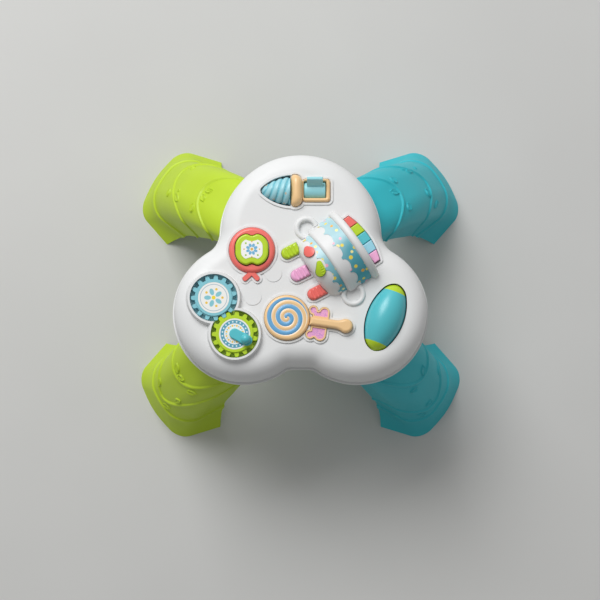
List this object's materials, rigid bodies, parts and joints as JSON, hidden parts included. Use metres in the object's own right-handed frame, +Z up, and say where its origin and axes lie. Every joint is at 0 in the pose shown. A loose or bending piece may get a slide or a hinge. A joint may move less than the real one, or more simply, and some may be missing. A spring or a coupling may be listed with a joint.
{
  "type": "activity table",
  "caption": "Three-lobed toddler activity table on splayed channel legs, with meshed crank gears, spinning lollipop, rollers, flip lever, press keys and a hinged keyboard.",
  "frame": {"origin": "on the floor, midway between the four feet", "axes": "+X to the right along the wider footprint, +Y to the rear lobe with the ice cream, +Z up"},
  "size_m": [0.4458, 0.4032, 0.291],
  "materials": {
    "white_shell": "smooth moulded white ABS",
    "lime_plastic": "smooth moulded lime plastic",
    "teal_plastic": "smooth moulded teal plastic",
    "tan_plastic": "smooth moulded biscuit plastic",
    "blue_plastic": "smooth moulded blue plastic",
    "coral_plastic": "smooth moulded coral plastic",
    "pink_plastic": "smooth moulded pink plastic",
    "sky_plastic": "smooth moulded pale blue plastic",
    "printed_film": "printed film label",
    "steel": "plated steel",
    "board": "resin board",
    "dome_rubber": "matte silicone",
    "dark_plastic": "fine matte black",
    "cell_wrap": "plain shrink wrap"
  },
  "bodies": {
    "table": {"top_panel": "white_shell", "base_shell": "white_shell", "cake_dome": "white_shell", "battery_door": "white_shell", "leg_rear_left": "lime_plastic", "leg_front_left": "lime_plastic", "leg_rear_right": "teal_plastic", "leg_front_right": "teal_plastic", "cone_bezel": "tan_plastic", "lollipop_stick": "tan_plastic", "bow_frame": "tan_plastic", "apple_bezel": "coral_plastic", "bow_panel": "pink_plastic", "cake_band_lower": "printed_film", "cake_band_upper": "printed_film", "panel_screws": "steel", "piano_key_rod": "steel", "battery_contacts": "steel", "battery_door_screw": "steel", "speaker_basket": "steel", "main_board": "board", "apple_board": "board", "piano_board": "board", "fruit_board": "board", "key_domes": "dome_rubber", "piano_domes": "dome_rubber", "fruit_domes": "dome_rubber", "speaker_cone": "dark_plastic", "switch_housing": "dark_plastic", "battery_cells": "cell_wrap"},
    "swirl": {"swirl_roller": "blue_plastic", "swirl_axle": "steel"},
    "lever": {"flip_lever": "teal_plastic"},
    "apple": {"apple_button": "lime_plastic", "apple_label": "printed_film"},
    "candle_lime": {"candle_key_lime": "lime_plastic"},
    "candle_pink": {"candle_key_pink": "pink_plastic"},
    "candle_red": {"candle_key_red": "coral_plastic"},
    "strawberry": {"strawberry_button": "coral_plastic"},
    "pear": {"pear_button": "lime_plastic"},
    "piano_coral": {"piano_key_coral": "coral_plastic"},
    "piano_lime": {"piano_key_lime": "lime_plastic"},
    "piano_teal": {"piano_key_teal": "teal_plastic"},
    "piano_sky": {"piano_key_sky": "sky_plastic"},
    "piano_pink": {"piano_key_pink": "pink_plastic"},
    "crank_gear": {"green_gear": "lime_plastic", "green_gear_label": "printed_film", "green_gear_screw": "steel", "crank_knob": "teal_plastic"},
    "driven_gear": {"blue_gear": "blue_plastic", "blue_gear_label": "printed_film", "blue_gear_screw": "steel"},
    "lollipop": {"lollipop_disc": "tan_plastic", "lollipop_spiral": "blue_plastic", "lollipop_screw": "steel"},
    "egg_roller": {"roller_barrel": "teal_plastic", "roller_cap_rear": "lime_plastic", "roller_cap_front": "lime_plastic", "roller_axle": "steel"},
    "switch": {"power_switch": "dark_plastic"}
  },
  "joints": [
    {"name": "swirl_spin", "type": "hinge", "parent": "table", "child": "swirl", "pos_m": [-0.03, 0.101, 0.245], "axis": [1, 0, 0], "continuous": true},
    {"name": "lever_flip", "type": "hinge", "parent": "table", "child": "lever", "pos_m": [0.019, 0.102, 0.244], "axis": [1, 0, 0], "range_deg": [0, 60]},
    {"name": "apple_press", "type": "slide", "parent": "table", "child": "apple", "axis": [0, 0, -1], "range_m": [0, 0.0025], "stiffness_N_per_m": 300, "springref_m": -0.003},
    {"name": "candle_lime_press", "type": "slide", "parent": "table", "child": "candle_lime", "axis": [0, 0, -1], "range_m": [0, 0.0025], "stiffness_N_per_m": 300, "springref_m": -0.003},
    {"name": "candle_pink_press", "type": "slide", "parent": "table", "child": "candle_pink", "axis": [0, 0, -1], "range_m": [0, 0.0025], "stiffness_N_per_m": 300, "springref_m": -0.003},
    {"name": "candle_red_press", "type": "slide", "parent": "table", "child": "candle_red", "axis": [0, 0, -1], "range_m": [0, 0.0025], "stiffness_N_per_m": 300, "springref_m": -0.003},
    {"name": "strawberry_press", "type": "slide", "parent": "table", "child": "strawberry", "axis": [0, 0, -1], "range_m": [0, 0.002], "stiffness_N_per_m": 300, "springref_m": -0.003},
    {"name": "pear_press", "type": "slide", "parent": "table", "child": "pear", "axis": [0, 0, -1], "range_m": [0, 0.002], "stiffness_N_per_m": 300, "springref_m": -0.003},
    {"name": "piano_coral_press", "type": "hinge", "parent": "table", "child": "piano_coral", "pos_m": [0.07263, 0.03045, 0.2435], "axis": [-0.5736, 0.8192, 0], "range_deg": [0, 5], "stiffness_Nm_per_rad": 0.15, "springref_deg": -5.73},
    {"name": "piano_lime_press", "type": "hinge", "parent": "table", "child": "piano_lime", "pos_m": [0.07263, 0.03045, 0.2435], "axis": [-0.5736, 0.8192, 0], "range_deg": [0, 5], "stiffness_Nm_per_rad": 0.15, "springref_deg": -5.73},
    {"name": "piano_teal_press", "type": "hinge", "parent": "table", "child": "piano_teal", "pos_m": [0.07263, 0.03045, 0.2435], "axis": [-0.5736, 0.8192, 0], "range_deg": [0, 5], "stiffness_Nm_per_rad": 0.15, "springref_deg": -5.73},
    {"name": "piano_sky_press", "type": "hinge", "parent": "table", "child": "piano_sky", "pos_m": [0.07263, 0.03045, 0.2435], "axis": [-0.5736, 0.8192, 0], "range_deg": [0, 5], "stiffness_Nm_per_rad": 0.15, "springref_deg": -5.73},
    {"name": "piano_pink_press", "type": "hinge", "parent": "table", "child": "piano_pink", "pos_m": [0.07263, 0.03045, 0.2435], "axis": [-0.5736, 0.8192, 0], "range_deg": [0, 5], "stiffness_Nm_per_rad": 0.15, "springref_deg": -5.73},
    {"name": "crank_gear_spin", "type": "hinge", "parent": "table", "child": "crank_gear", "pos_m": [-0.08645, -0.09096, 0.25], "axis": [0, 0, 1], "continuous": true},
    {"name": "driven_gear_spin", "type": "hinge", "parent": "table", "child": "driven_gear", "pos_m": [-0.1142, -0.0429, 0.25], "axis": [0, 0, 1], "continuous": true},
    {"name": "lollipop_spin", "type": "hinge", "parent": "table", "child": "lollipop", "pos_m": [-0.0178, -0.069, 0.25], "axis": [0, 0, 1], "continuous": true},
    {"name": "egg_roller_spin", "type": "hinge", "parent": "table", "child": "egg_roller", "pos_m": [0.1116, -0.068, 0.243], "axis": [0.3518, 0.9361, 0], "continuous": true},
    {"name": "power_slide", "type": "slide", "parent": "table", "child": "switch", "axis": [1, 0, 0], "range_m": [0, 0.006]}
  ],
  "couplings": [
    {"joint": "driven_gear_spin", "follows": "crank_gear_spin", "ratio": -1}
  ]
}
